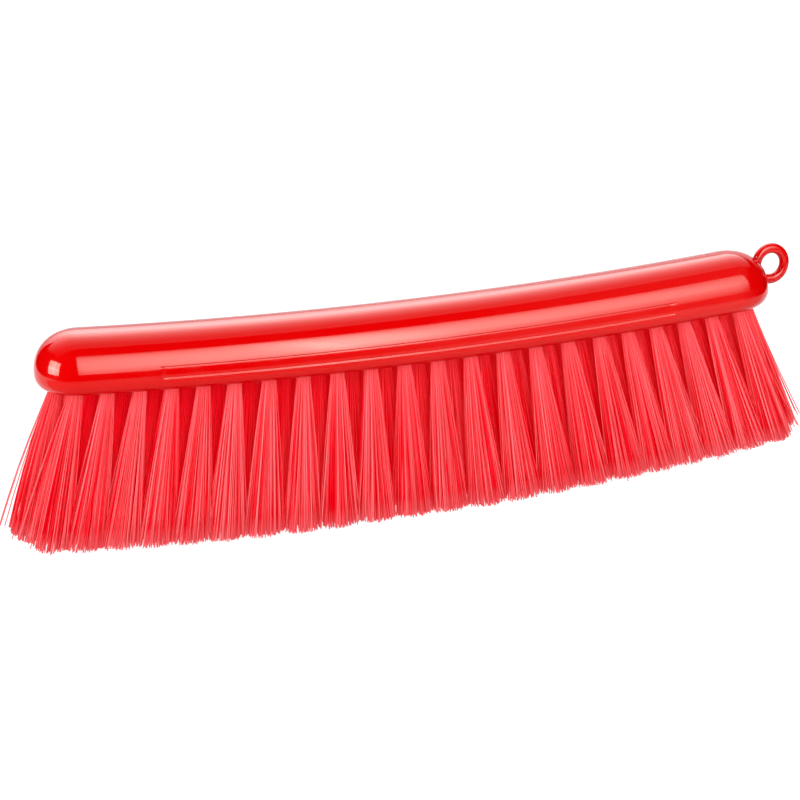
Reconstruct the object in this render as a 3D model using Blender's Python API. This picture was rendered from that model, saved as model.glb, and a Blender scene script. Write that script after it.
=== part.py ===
"""Flour brush: a curved moulded block with a hanging eye and three staggered rows of bristle tufts.

Metres, +Z up. The brush stands on its bristle tips, with the origin on the floor under the middle
of the block. X runs along the block towards the eye, Y runs across it.
"""
import math
from itertools import combinations

import bmesh
import bpy
from mathutils import Matrix, Vector

# The block: one solid moulding that follows a long shallow curve, its ends turned up
BLOCK_LENGTH = 0.3013
BLOCK_WIDTH = 0.035
BLOCK_HEIGHT = 0.0223
WIDEST_HEIGHT = 0.0063
SWEEP_RADIUS = 1.940
BACK_FULLNESS = 2.2

# Shallow recess along each side of the block, centred a little above its widest line and towards the eye
PANEL_LENGTH = 0.208
PANEL_HEIGHT = 0.0058
PANEL_DEPTH = 0.0006
PANEL_RISE = 0.0012
PANEL_SHIFT = 0.0010
PANEL_CORNER = 0.0008

# Hanging eye, moulded on one end: a ring a little taller than wide, its top level with the block's back
EYE_WIRE = 0.0040
EYE_BORE = 0.0084
EYE_STRETCH = 1.06
EYE_STANDOFF = 0.0030
EYE_BURY = 0.0090
EYE_UPPER_ANGLE = math.radians(180.0)
EYE_LOWER_ANGLE = math.radians(261.0)

# Tuft field: outer rows of drilled tufts and a middle row set half a gap over
TUFT_DIAMETER = 0.0050
ROW_SPACING = 0.0075
END_MARGIN = 0.00975
CENTRE_GAPS = 11
END_GAPS = 5
END_GAP_RATIO = 0.895
UNDERSIDE_LIP = 0.0020
HOLE_DEPTH = 0.0100
ROOT_PROUD = 0.0006
CLEARANCE = 0.0003

# Bristles: the tufts fan out towards the ends and splay a little to the sides, trimmed to a rounder
# curve whose lowest place is a little towards the plain end
BRISTLE_TRIM = 0.065
TRIM_RADIUS = 1.310
TRIM_SHIFT = -0.020
STANDING_FLAT = 0.0005
END_FAN = math.radians(14.0)
SIDE_SPLAY = math.radians(3.0)
STRANDS_AROUND = 6
STRAND_ROOT_WIDTH = 0.0013
STRAND_TIP_WIDTH = 0.0022
STRAND_GAP = 0.0004
STRAND_EMBED = 0.0012
STRAND_SETBACK = 0.0001

# Slice of the backing that carries the middle row, let in flush with the underside
SLICE_THICKNESS = 0.0020
SLICE_LIP = 0.0005

# Facets
SECTION_STEPS = 8
DOME_STEPS = 18
STRAIGHT_STEPS = 12
TUFT_SIDES = 8
STRAND_SIDES = 3
EYE_ARC_STEPS = 18
EYE_BEVEL_STEPS = 3
SHARP_ANGLE = math.radians(32.0)
MERGE_DISTANCE = 0.000001

# Finish
BLOCK_RED = (0.78, 0.010, 0.012, 1.0)
BLOCK_ROUGHNESS = 0.22
BRISTLE_RED = (0.86, 0.045, 0.040, 1.0)
BRISTLE_ROUGHNESS = 0.45

PARTS = "flour_brush"
CUTTERS = "cutters"

UNDERSIDE_Z = BRISTLE_TRIM - STANDING_FLAT
TUFT_RADIUS = TUFT_DIAMETER / 2
UNDERSIDE_HALF = ROW_SPACING + TUFT_RADIUS + UNDERSIDE_LIP
FIELD_LENGTH = BLOCK_LENGTH - 2 * END_MARGIN
CENTRE_GAP = FIELD_LENGTH / (CENTRE_GAPS + (2 * END_GAPS + 1) * END_GAP_RATIO)
END_GAP = CENTRE_GAP * END_GAP_RATIO
HALF_FIELD = FIELD_LENGTH / 2


def tidy_scene():
    """Empty the scene and make a collection for the brush and one for its cutters."""
    for item in list(bpy.data.objects):
        bpy.data.objects.remove(item, do_unlink=True)
    for name in (PARTS, CUTTERS):
        bpy.context.scene.collection.children.link(bpy.data.collections.new(name))


def plastic(name, colour, roughness):
    """A dyed plastic."""
    material = bpy.data.materials.new(name)
    material.use_nodes = True
    shader = material.node_tree.nodes["Principled BSDF"]
    shader.inputs["Base Color"].default_value = colour
    shader.inputs["Roughness"].default_value = roughness
    shader.inputs["Metallic"].default_value = 0.0
    return material


def on_block(run, across, height):
    """World point at a run along the block's curve, a distance across and a height over its underside."""
    angle = run / SWEEP_RADIUS
    reach = SWEEP_RADIUS - height
    rise = SWEEP_RADIUS - reach * math.cos(angle)
    return Vector((reach * math.sin(angle), across, UNDERSIDE_Z + rise))


def bend(bm):
    """Carry a shape drawn straight, as run, across and height, onto the block's curve."""
    for vert in bm.verts:
        vert.co = on_block(*vert.co)


def new_object(name, bm, collection, material=None):
    """Object from a bmesh, with its faces pointing out."""
    bmesh.ops.recalc_face_normals(bm, faces=bm.faces)
    mesh = bpy.data.meshes.new(name)
    bm.to_mesh(mesh)
    bm.free()
    item = bpy.data.objects.new(name, mesh)
    bpy.data.collections[collection].objects.link(item)
    if material:
        mesh.materials.append(material)
    return item


def combine(item, tool, operation):
    """Join a tool into an object or cut it away, and remove the tool."""
    modifier = item.modifiers.new(operation.lower(), "BOOLEAN")
    modifier.object = tool
    modifier.operation = operation
    modifier.solver = "EXACT"
    graph = bpy.context.evaluated_depsgraph_get()
    shaped = bpy.data.meshes.new_from_object(item.evaluated_get(graph))
    item.modifiers.clear()
    item.data = shaped
    bpy.data.objects.remove(tool, do_unlink=True)


def finish_shading(item):
    """Smooth shading with the real edges kept sharp."""
    item.data.shade_smooth()
    item.data.set_sharp_from_angle(angle=SHARP_ANGLE)


def rounded_bar(centre_run, outline):
    """Straight bar with revolved ends, from half of its section.

    The outline runs from the bar's middle plane at the bottom to the middle plane at the top, as
    (across, height) pairs. Each end is that half section turned about an upright axis at centre_run.
    """
    bm = bmesh.new()
    verts = [bm.verts.new((centre_run, -across, height)) for across, height in outline]
    for lower, upper in zip(verts, verts[1:]):
        bm.edges.new((lower, upper))
    bmesh.ops.spin(
        bm, geom=bm.verts[:] + bm.edges[:], cent=(centre_run, 0.0, 0.0), axis=(0.0, 0.0, 1.0),
        dvec=(0.0, 0.0, 0.0), angle=math.pi, steps=DOME_STEPS, use_merge=False, use_duplicate=False,
    )
    bmesh.ops.remove_doubles(bm, verts=bm.verts, dist=MERGE_DISTANCE)
    rim = [edge for edge in bm.edges if edge.is_boundary]
    for _ in range(STRAIGHT_STEPS // 2):
        drawn = bmesh.ops.extrude_edge_only(bm, edges=rim)["geom"]
        moved = [part for part in drawn if isinstance(part, bmesh.types.BMVert)]
        rim = [part for part in drawn if isinstance(part, bmesh.types.BMEdge)]
        bmesh.ops.translate(bm, verts=moved, vec=(-centre_run / (STRAIGHT_STEPS // 2), 0.0, 0.0))
    half = bm.verts[:] + bm.edges[:] + bm.faces[:]
    bmesh.ops.mirror(bm, geom=half, matrix=Matrix(), merge_dist=MERGE_DISTANCE, axis="X")
    return bm


def quarter(start_across, start_height, end_across, end_height, upright_first):
    """Points along a superellipse quarter, its first point left out."""
    points = []
    for step in range(1, SECTION_STEPS + 1):
        angle = math.pi / 2 * step / SECTION_STEPS
        slow = 1.0 - math.cos(angle) ** (2 / BACK_FULLNESS)
        fast = math.sin(angle) ** (2 / BACK_FULLNESS)
        along, up = (slow, fast) if upright_first else (fast, slow)
        points.append((
            start_across + (end_across - start_across) * along,
            start_height + (end_height - start_height) * up,
        ))
    return points


def block_outline():
    """Half section of the block: flat underside, side that swells to the widest line, domed back."""
    half_width = BLOCK_WIDTH / 2
    flat = [(0.0, 0.0), (UNDERSIDE_HALF, 0.0)]
    side = quarter(UNDERSIDE_HALF, 0.0, half_width, WIDEST_HEIGHT, upright_first=False)
    back = quarter(half_width, WIDEST_HEIGHT, 0.0, BLOCK_HEIGHT, upright_first=True)
    return flat + side + back


def span(edge):
    """How far an edge reaches along each axis."""
    across = edge.verts[0].co - edge.verts[1].co
    return Vector((abs(across.x), abs(across.y), abs(across.z)))


def panel_cutter():
    """Two long boxes that cut the flat-floored recess into each side."""
    bm = bmesh.new()
    height = WIDEST_HEIGHT + PANEL_RISE
    depth = 2 * BLOCK_WIDTH
    for side in (-1, 1):
        box = bmesh.ops.create_cube(bm, size=1.0)["verts"]
        bmesh.ops.scale(bm, verts=box, vec=(PANEL_LENGTH, depth, PANEL_HEIGHT))
        floor = BLOCK_WIDTH / 2 - PANEL_DEPTH
        bmesh.ops.translate(bm, verts=box, vec=(PANEL_SHIFT, side * (floor + depth / 2), height))
    corners = [edge for edge in bm.edges if span(edge).y > BLOCK_WIDTH]
    bmesh.ops.bevel(
        bm, geom=corners, offset=PANEL_CORNER, offset_type="OFFSET", affect="EDGES", segments=2,
        profile=0.5, material=-1, clamp_overlap=True,
    )
    long_edges = [edge for edge in bm.edges if span(edge).x > PANEL_LENGTH / 2]
    bmesh.ops.subdivide_edges(bm, edges=long_edges, cuts=STRAIGHT_STEPS - 1, use_grid_fill=True)
    bend(bm)
    return new_object("panel_cutter", bm, CUTTERS)


def tuft_places(row):
    """Runs of the tufts of a row: -1 for the front row, 0 for the middle row and 1 for the back row."""
    gaps = [END_GAP] * END_GAPS + [CENTRE_GAP] * CENTRE_GAPS + [END_GAP] * END_GAPS
    outer = [-HALF_FIELD + END_GAP / 2]
    for gap in gaps:
        outer.append(outer[-1] + gap)
    if row:
        return outer
    between = [(left + right) / 2 for left, right in zip(outer, outer[1:])]
    return [-HALF_FIELD] + between + [HALF_FIELD]


def tuft_frame(run, row):
    """Matrix of a tuft: its origin on the underside, its Z axis up the hole, tilted by fan and splay."""
    origin = on_block(run, row * ROW_SPACING, 0.0)
    curve = Matrix.Rotation(-run / SWEEP_RADIUS, 4, "Y")
    fan = Matrix.Rotation(-END_FAN * run / HALF_FIELD, 4, "Y")
    splay = Matrix.Rotation(SIDE_SPLAY * row, 4, "X")
    return Matrix.Translation(origin) @ curve @ fan @ splay


def trimmed(start, through):
    """Where a filament from start through a second point meets the trimmed surface or the floor."""
    ray = (through - start).normalized()
    centre_z = TRIM_RADIUS - STANDING_FLAT
    flat_ray = Vector((ray.x, ray.z))
    offset = Vector((start.x - TRIM_SHIFT, start.z - centre_z))
    along = flat_ray.dot(offset)
    square = flat_ray.length_squared
    spare = TRIM_RADIUS ** 2 - offset.length_squared
    to_trim = (-along + math.sqrt(along * along + square * spare)) / square
    to_floor = -start.z / ray.z
    end = start + ray * min(to_trim, to_floor)
    if to_floor <= to_trim:
        end.z = 0.0
    return end


def tip_ring_radius():
    """Radius of the ring of strand tips, from the room between the nearest neighbouring tufts."""
    tip = Vector((0.0, 0.0, -BRISTLE_TRIM))
    tips = [tuft_frame(run, row) @ tip for row in (0, 1) for run in tuft_places(row)]
    nearest = min((first - second).length for first, second in combinations(tips, 2))
    return nearest / 2 - STRAND_TIP_WIDTH / 2 - STRAND_GAP / 2


def add_root(bm, frame):
    """The packed root of a tuft, which fills its hole and stands a little proud of the underside."""
    top = HOLE_DEPTH - CLEARANCE
    centre = Matrix.Translation((0.0, 0.0, (top - ROOT_PROUD) / 2))
    bmesh.ops.create_cone(
        bm, cap_ends=True, cap_tris=False, segments=TUFT_SIDES, radius1=TUFT_RADIUS, radius2=TUFT_RADIUS,
        depth=top + ROOT_PROUD, matrix=frame @ centre,
    )


def add_strands(bm, frame, tip_ring):
    """The strands of a tuft: one at its middle and a ring around it, spreading towards the tips."""
    root_flat = TUFT_RADIUS * math.cos(math.pi / TUFT_SIDES)
    root_ring = root_flat - STRAND_ROOT_WIDTH / 2 - STRAND_SETBACK
    ring = [(1.0, math.tau * index / STRANDS_AROUND) for index in range(STRANDS_AROUND)]
    for out, turn in [(0.0, 0.0)] + ring:
        side = Vector((math.cos(turn), math.sin(turn), 0.0)) * out
        root = side * root_ring + Vector((0.0, 0.0, STRAND_EMBED))
        tip = side * tip_ring + Vector((0.0, 0.0, -BRISTLE_TRIM))
        strand = bmesh.ops.create_cone(
            bm, cap_ends=True, cap_tris=False, segments=STRAND_SIDES, radius1=STRAND_TIP_WIDTH / 2,
            radius2=STRAND_ROOT_WIDTH / 2, depth=1.0, matrix=Matrix.Rotation(turn, 4, "Z"),
        )["verts"]
        for vert in strand:
            corner = Vector((vert.co.x, vert.co.y, 0.0))
            if vert.co.z > 0.0:
                vert.co = frame @ (root + corner)
            else:
                start = frame @ (root + corner * STRAND_ROOT_WIDTH / STRAND_TIP_WIDTH)
                vert.co = trimmed(start, frame @ (tip + corner))


def make_block(material):
    """The moulded block with its eye, side recesses, blind tuft holes and the seat of the middle slice."""
    bm = rounded_bar(BLOCK_LENGTH / 2 - BLOCK_WIDTH / 2, block_outline())
    bend(bm)
    block = new_object("block", bm, PARTS, material)
    combine(block, eye_tool(), "UNION")
    combine(block, panel_cutter(), "DIFFERENCE")
    combine(block, slice_seat(), "DIFFERENCE")
    combine(block, hole_cutter(), "DIFFERENCE")
    finish_shading(block)


def eye_tool():
    """The eye: a round wire bent to most of a ring, its two ends turned into the block's end."""
    half_length = (EYE_BORE + EYE_WIRE) / 2
    half_height = half_length * EYE_STRETCH
    centre_run = BLOCK_LENGTH / 2 + EYE_STANDOFF
    centre_height = BLOCK_HEIGHT - half_height - EYE_WIRE / 2
    buried_run = BLOCK_LENGTH / 2 - EYE_BURY
    route = []
    for step in range(EYE_ARC_STEPS + 1):
        sweep = EYE_UPPER_ANGLE + (EYE_LOWER_ANGLE - math.tau - EYE_UPPER_ANGLE) * step / EYE_ARC_STEPS
        run = centre_run + half_length * math.cos(sweep)
        height = centre_height + half_height * math.sin(sweep)
        route.append((run, height))
    lower_slope = -EYE_STRETCH / math.tan(EYE_LOWER_ANGLE)
    last_run, last_height = route[-1]
    route.insert(0, (buried_run, route[0][1]))
    route.append((buried_run, last_height + lower_slope * (buried_run - last_run)))
    curve = bpy.data.curves.new("eye", "CURVE")
    curve.dimensions = "3D"
    curve.bevel_depth = EYE_WIRE / 2
    curve.bevel_resolution = EYE_BEVEL_STEPS
    curve.use_fill_caps = True
    spline = curve.splines.new("POLY")
    spline.points.add(len(route) - 1)
    for point, (run, height) in zip(spline.points, route):
        point.co = (*on_block(run, 0.0, height), 1.0)
    wire = bpy.data.objects.new("eye", curve)
    bpy.data.collections[CUTTERS].objects.link(wire)
    graph = bpy.context.evaluated_depsgraph_get()
    mesh = bpy.data.meshes.new_from_object(wire.evaluated_get(graph))
    bpy.data.objects.remove(wire, do_unlink=True)
    bm = bmesh.new()
    bm.from_mesh(mesh)
    bmesh.ops.remove_doubles(bm, verts=bm.verts, dist=MERGE_DISTANCE)
    return new_object("eye_tool", bm, CUTTERS)


def slice_bar(half_width, bottom, top):
    """Bar along the middle row, round-ended, to the outside of its last tufts."""
    bm = rounded_bar(HALF_FIELD, [(0.0, bottom), (half_width, bottom), (half_width, top), (0.0, top)])
    bend(bm)
    return bm


def slice_seat():
    """Cutter for the long seat in the underside, open below."""
    half_width = TUFT_RADIUS + SLICE_LIP + CLEARANCE
    bm = slice_bar(half_width, -SLICE_THICKNESS, SLICE_THICKNESS + CLEARANCE)
    return new_object("slice_seat", bm, CUTTERS)


def hole_cutter():
    """Blind holes for all the tufts, each drilled along its own tuft."""
    radius = TUFT_RADIUS + CLEARANCE / math.cos(math.pi / TUFT_SIDES)
    mouth = 2 * CLEARANCE + ROOT_PROUD
    bm = bmesh.new()
    for row in (-1, 0, 1):
        for run in tuft_places(row):
            centre = Matrix.Translation((0.0, 0.0, (HOLE_DEPTH - mouth) / 2))
            bmesh.ops.create_cone(
                bm, cap_ends=True, cap_tris=False, segments=TUFT_SIDES, radius1=radius, radius2=radius,
                depth=HOLE_DEPTH + mouth, matrix=tuft_frame(run, row) @ centre,
            )
    return new_object("hole_cutter", bm, CUTTERS)


def make_tuft(name, run, row, tip_ring, material):
    """One tuft of an outer row: its root with the strands grown out of it."""
    frame = tuft_frame(run, row)
    root = bmesh.new()
    add_root(root, frame)
    tuft = new_object(name, root, PARTS, material)
    strands = bmesh.new()
    add_strands(strands, frame, tip_ring)
    combine(tuft, new_object("strands", strands, CUTTERS), "UNION")
    finish_shading(tuft)


def make_middle_row(tip_ring, material):
    """The middle row: its tufts, fused to the slice of backing that they stand in."""
    bar = slice_bar(TUFT_RADIUS + SLICE_LIP, 0.0, SLICE_THICKNESS)
    middle = new_object("middle_row", bar, PARTS, material)
    roots = bmesh.new()
    strands = bmesh.new()
    for run in tuft_places(0):
        frame = tuft_frame(run, 0)
        add_root(roots, frame)
        add_strands(strands, frame, tip_ring)
    combine(middle, new_object("middle_roots", roots, CUTTERS), "UNION")
    combine(middle, new_object("middle_strands", strands, CUTTERS), "UNION")
    finish_shading(middle)


def main():
    """Build the brush."""
    tidy_scene()
    make_block(plastic("moulded_polypropylene", BLOCK_RED, BLOCK_ROUGHNESS))
    filament = plastic("polyester_filament", BRISTLE_RED, BRISTLE_ROUGHNESS)
    tip_ring = tip_ring_radius()
    for side, row in (("front", -1), ("back", 1)):
        for number, run in enumerate(tuft_places(row), start=1):
            make_tuft(f"tuft_{side}_{number:02d}", run, row, tip_ring, filament)
    make_middle_row(tip_ring, filament)


main()
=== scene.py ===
"""Looks of the flour brush: glossy moulded block, coral filament tufts, and the studio around them.

Metres, +Z up. The brush stands on its bristle tips, with its length along X, the eye at +X and the
camera in front, towards -Y. Runs, distances across and heights over the underside are measured on
the straight block and carried onto its curve, as in the CAD model.
"""

import math

import bmesh
import bpy
import numpy as np
from bpy.props import FloatProperty, FloatVectorProperty, IntProperty, PointerProperty
from mathutils import Matrix, Vector


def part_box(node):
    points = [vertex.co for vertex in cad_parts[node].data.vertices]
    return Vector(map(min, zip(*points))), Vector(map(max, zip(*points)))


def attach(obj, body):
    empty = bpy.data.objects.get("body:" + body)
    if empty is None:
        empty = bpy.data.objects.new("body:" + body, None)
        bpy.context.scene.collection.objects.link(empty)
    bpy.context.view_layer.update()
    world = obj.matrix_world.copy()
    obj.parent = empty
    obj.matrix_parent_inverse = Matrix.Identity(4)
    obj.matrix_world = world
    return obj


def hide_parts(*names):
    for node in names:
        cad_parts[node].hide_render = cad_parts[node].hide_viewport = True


bl_info = {
    "name": "Flour Brush",
    "version": (1, 0, 0),
    "blender": (4, 5, 0),
    "location": "View3D > Sidebar > Flour Brush",
    "description": "Adds a moulded flour brush with drilled filament tufts, and a pale studio around it",
    "category": "Add Mesh",
}

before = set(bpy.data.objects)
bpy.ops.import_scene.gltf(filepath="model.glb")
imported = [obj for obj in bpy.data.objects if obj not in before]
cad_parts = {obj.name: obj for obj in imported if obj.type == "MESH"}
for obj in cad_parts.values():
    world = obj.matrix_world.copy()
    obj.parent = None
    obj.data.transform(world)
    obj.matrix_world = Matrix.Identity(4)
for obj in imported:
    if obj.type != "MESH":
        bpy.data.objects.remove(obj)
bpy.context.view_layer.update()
BLOCK_LOW, BLOCK_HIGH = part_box("block")

# Sizes that the looks share with the CAD model
BLOCK_LENGTH = 0.3013
BLOCK_WIDTH = BLOCK_HIGH.y - BLOCK_LOW.y
BLOCK_HEIGHT = 0.0223
WIDEST_HEIGHT = 0.0063
SWEEP_RADIUS = 1.940
BACK_FULLNESS = 2.2
UNDERSIDE_HALF = 0.0120
UNDERSIDE_Z = 0.0645
BRISTLE_TRIM = 0.065
TRIM_RADIUS = 1.310
STANDING_FLAT = 0.0005
TUFT_DIAMETER = 0.0050
ROW_SPACING = 0.0075
FIELD_LENGTH = 0.2818
CENTRE_GAPS = 11
END_GAPS = 5
END_GAP_RATIO = 0.895
END_FAN = math.radians(14.0)
SIDE_SPLAY = math.radians(3.0)
MERGE_DISTANCE = 0.000001

# Where along the brush the filaments' trim curve is lowest, matched to the photograph
TRIM_SHIFT = -0.014

# Steps of the block's surface
SECTION_STEPS = 40
DOME_STEPS = 64
COLUMN_STEP = 0.0026
BAND_STEP = 0.00013
END_STEP = 0.00040
SHARP_ANGLE = math.radians(35.0)

# The recess in each side: a crisp upper edge, a lower edge, a shallow lip below, and ends that run out
RECESS_SHIFT = 0.0010
RECESS_TOP = 0.01050
RECESS_TOP_SOFTNESS = 0.00018
RECESS_FILLET = 0.00003
RECESS_FILLET_RUN = 0.0007
RECESS_FOOT = 0.00580
RECESS_FOOT_SOFTNESS = 0.00026
LIP_FOOT = 0.0046
LIP_FOOT_SOFTNESS = 0.00025
RECESS_RUN_OUT = 0.0030
BAND_LOW = 0.0044
BAND_HIGH = 0.0108

# The eye, shaped as in the CAD model: its upper end turns into the block by an elbow, and its lower
# end runs straight in and is buried a little less deep than the CAD one
EYE_STRETCH = 1.06
EYE_STANDOFF = 0.0030
EYE_BURY = 0.0075
EYE_UPPER_ANGLE = math.radians(180.0)
EYE_LOWER_ANGLE = math.radians(-99.0)
EYE_ELBOW = 0.0022
EYE_ELBOW_STEPS = 8
EYE_WIRE_SIDES = 32
EYE_ARC_STEPS = 72

# The block's plastic: sizes of the waves in its polish, of its rubbed patches and of the drifts in its
# dye, then how deep, how rough and how dark these are
POLISH_WAVE = 0.0045
RUBBED_PATCH = 0.011
DYE_DRIFT = 0.033
POLISH_DEPTH = 0.0002
POLISH_STRENGTH = 0.05
RUBBED_RANGE = (0.45, 0.75)
GLOSS_ROUGHNESS = (0.06, 0.13)
DYE_DEEPENING = 0.94

# The filaments' plastic: share of each channel kept in the painted shade of the grooves, a painted red glow
# over all the filaments that stands in for light passed between them, and from where along a filament and
# how far painted light makes its tip paler
GROOVE_SHADE_SHARE = (0.86, 0.0, 0.05)
PAINTED_GLOW_COLOUR = "#FF0010"
PAINTED_GLOW = 0.28
TIP_START = 0.88
TIP_PAINTED_LIGHT = 0.6

# A tuft's filaments: their section, their stand in the hole, and how they gather, bow and wander
FILAMENT_SIDES = 3
FILAMENT_SEGMENTS = 5
ROOT_DEPTH = 0.0020
ROOT_JITTER = 0.35
CLUMP_JITTER = 0.6
CLUMP_PULL = 0.18
FILAMENT_WANDER = 0.00035
ODD_SHARE = 0.05
ODD_WANDER = 0.0013
WANDER_CURVE = 1.7
FILAMENT_BOW = 0.00025
ROW_SEEDS = 1000
GOLDEN_TURN = math.pi * (3.0 - math.sqrt(5.0))
HOLE_SIDES = 24
HOLE_DEPTH = 0.0100
HOLE_MOUTH = 0.0020
HOLE_ROOM = 0.0001
HOLE_RADIUS = TUFT_DIAMETER / 2 + HOLE_ROOM

# Tufts at the rows' ends: how far the middle row's first one stands out, and how far those at the left
# and at the right lean out, bulge, and are rounded off at the corner
LEFT_ROOM = 0.0012
LEFT_END = (0.0012, 0.0014, 0.0060)
RIGHT_END = (-0.0020, 0.0, 0.0035)

# Stray filaments of an end tuft: how far the tip of each lies outwards and across, and their thickness
STRAYS = ((0.0034, -0.0010), (0.0026, 0.0010), (0.0018, -0.0020))
STRAY_THICKNESS = 0.95

# Tones of the filaments, from 0 for the painted shade of a groove to 1 for their own colour, at the root and
# at the tip, and how much they vary
ROOT_TONE = 0.55
TIP_TONE = 0.41
CLUMP_TONE_SPREAD = 0.10
TONE_SPREAD = 0.55

# Painted shade on a tuft behind the front row: share of its tone that it keeps at its root, at the left and
# at the right of the brush, and the runs between which it changes
INNER_SHADE = (0.05, 0.38)
INNER_SHADE_RUNS = (-0.08, 0.03)

# Floor and backdrop
FLOOR_GLOW = 0.92
FLOOR_HALF = 6.0
BACKDROP_START = 2.6
BACKDROP_CURVE = 0.5
BACKDROP_HEIGHT = 2.5
BACKDROP_STEPS = 12

# Lights: where each stands, its size, and how its brightness runs across it and up it
LIGHT_COLOUR = "#FFFFFF"
FRONT_CENTRE = Vector((0.385, -0.80, 0.70))
FRONT_SIZE = (1.13, 1.28)
FRONT_ACROSS = (
    (0.0, 0.25), (0.03, 0.39), (0.115, 0.49), (0.176, 0.55), (0.208, 0.72), (0.228, 1.0), (0.25, 0.81),
    (0.30, 0.72), (0.34, 0.51), (0.44, 0.42), (0.56, 0.38), (0.60, 0.30), (1.0, 0.26),
)
FRONT_UP = (
    (0.115, 0.14), (0.187, 0.38), (0.273, 0.63), (0.368, 1.0), (0.52, 1.0), (0.66, 0.80), (0.78, 0.55),
    (0.88, 0.30), (0.95, 0.0),
)
FRONT_LEAN = 0.3
BACK_EDGE = Vector((0.0, -0.13, 1.08))
BACK_TURN = math.atan(0.235)
BACK_SIZE = (2.8, 3.4)
BACK_ACROSS = (
    (0.06, 0.0), (0.16, 0.15), (0.30, 0.38), (0.45, 0.64), (0.53, 0.86), (0.62, 0.98), (0.76, 0.84),
    (0.87, 0.68), (1.0, 0.62),
)
BACK_UP = (
    (0.0, 0.12), (0.053, 0.125), (0.089, 0.18), (0.126, 0.28), (0.186, 0.44), (0.248, 0.67), (0.314, 0.95),
    (0.36, 1.0), (0.49, 0.78), (0.69, 0.42), (1.0, 0.28),
)
SIDE_AIM = Vector((-0.14, 0.0, 0.07))
SIDE_DIRECTION = Vector((-0.890, -0.380, 0.235))
SIDE_SIZE = (0.58, 0.69)
SIDE_STOPS = ((0.0, 0.60), (0.40, 0.68), (0.5, 1.0), (0.60, 0.68), (1.0, 0.60))

# Brightness that the gloss mirrors from all round, in stops of how far to the right it looks
VEIL = ((0.0, 0.01), (0.20, 0.01), (0.28, 0.17), (0.62, 0.17), (0.72, 0.01))

# Cards: the dark one runs round the front and the ends, and the greys are given along the brush
CARD_HALF = 0.15
CARD_ROUND = 0.30
CARD_BACK = 0.45
CARD_HEIGHT = 0.080
CARD_REACH = 1.8
CARD_DEPTH = 1.6
CARD_RISE = 10.0
CARD_STEPS = 12
CARD_LIFT = 0.0005
CARD_GREYS = ((-0.05, "#010101"), (0.12, "#909090"), (0.30, "#606060"), (0.45, "#010101"))
FLOOR_CARD_WIDTH = 1.0
FLOOR_CARD_LENGTH = 0.32
FLOOR_CARD_PLACE = -0.165
FLOOR_CARD_GREYS = ((-0.16, "#8A8A8A"), (0.16, "#B8B8B8"))
FAR_CARD_WIDTH = 6.0
FAR_CARD_HEIGHT = 0.55
FAR_CARD_PLACE = 1.5
FAR_CARD_GREYS = ((-3.0, "#B8B8B8"), (0.0, "#C0C0C0"), (3.0, "#FFFFFF"))

# Camera, placed so that the brush fills the picture as in the photograph
CAMERA_AZIMUTH = math.radians(10.0)
CAMERA_ELEVATION = math.radians(20.28)
CAMERA_ROLL = math.radians(4.03)
CAMERA_DISTANCE = 0.56098
CAMERA_TARGET = Vector((-0.00831, 0.0, 0.04550))
CAMERA_LENS = 61.8
CAMERA_SENSOR = 36.0
CAMERA_NEAR = 0.01


def linear(code, alpha=1.0):
    """Linear colour of an sRGB hex value."""
    channels = [int(code[place:place + 2], 16) / 255 for place in (1, 3, 5)]
    light = [value / 12.92 if value <= 0.04045 else ((value + 0.055) / 1.055) ** 2.4 for value in channels]
    return (*light, alpha)


def add_node(tree, kind, settings=None, inputs=None):
    """Node of a kind, with its settings, and with its inputs set to values or joined to sockets."""
    node = tree.nodes.new(kind)
    for key, value in (settings or {}).items():
        setattr(node, key, value)
    for key, value in (inputs or {}).items():
        if isinstance(value, bpy.types.NodeSocket):
            tree.links.new(value, node.inputs[key])
        else:
            node.inputs[key].default_value = value
    return node


class FlourBrushBlock(bpy.types.PropertyGroup):
    """Sizes and colour of the moulded block."""

    panel_length: FloatProperty(
        name="Recess Length", description="Length of the recess along each side of the block",
        default=0.208, min=0.05, max=0.25, unit="LENGTH",
    )
    panel_depth: FloatProperty(
        name="Recess Depth", description="Depth of the recess's floor",
        default=0.00045, min=0.0, max=0.001, unit="LENGTH", precision=5,
    )
    lip_depth: FloatProperty(
        name="Lip Depth", description="Depth of the shallow lip along the recess's lower edge",
        default=0.00012, min=0.0, max=0.001, unit="LENGTH", precision=5,
    )
    eye_wire: FloatProperty(
        name="Eye Thickness", description="Thickness of the round wire form of the hanging eye",
        default=0.0040, min=0.002, max=0.006, unit="LENGTH", precision=4,
    )
    eye_bore: FloatProperty(
        name="Eye Opening", description="Opening of the hanging eye",
        default=0.0084, min=0.004, max=0.012, unit="LENGTH", precision=4,
    )
    colour: FloatVectorProperty(
        name="Block Colour", description="Colour of the dyed plastic",
        default=linear("#AE0001"), size=4, min=0.0, max=1.0, subtype="COLOR",
    )


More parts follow.
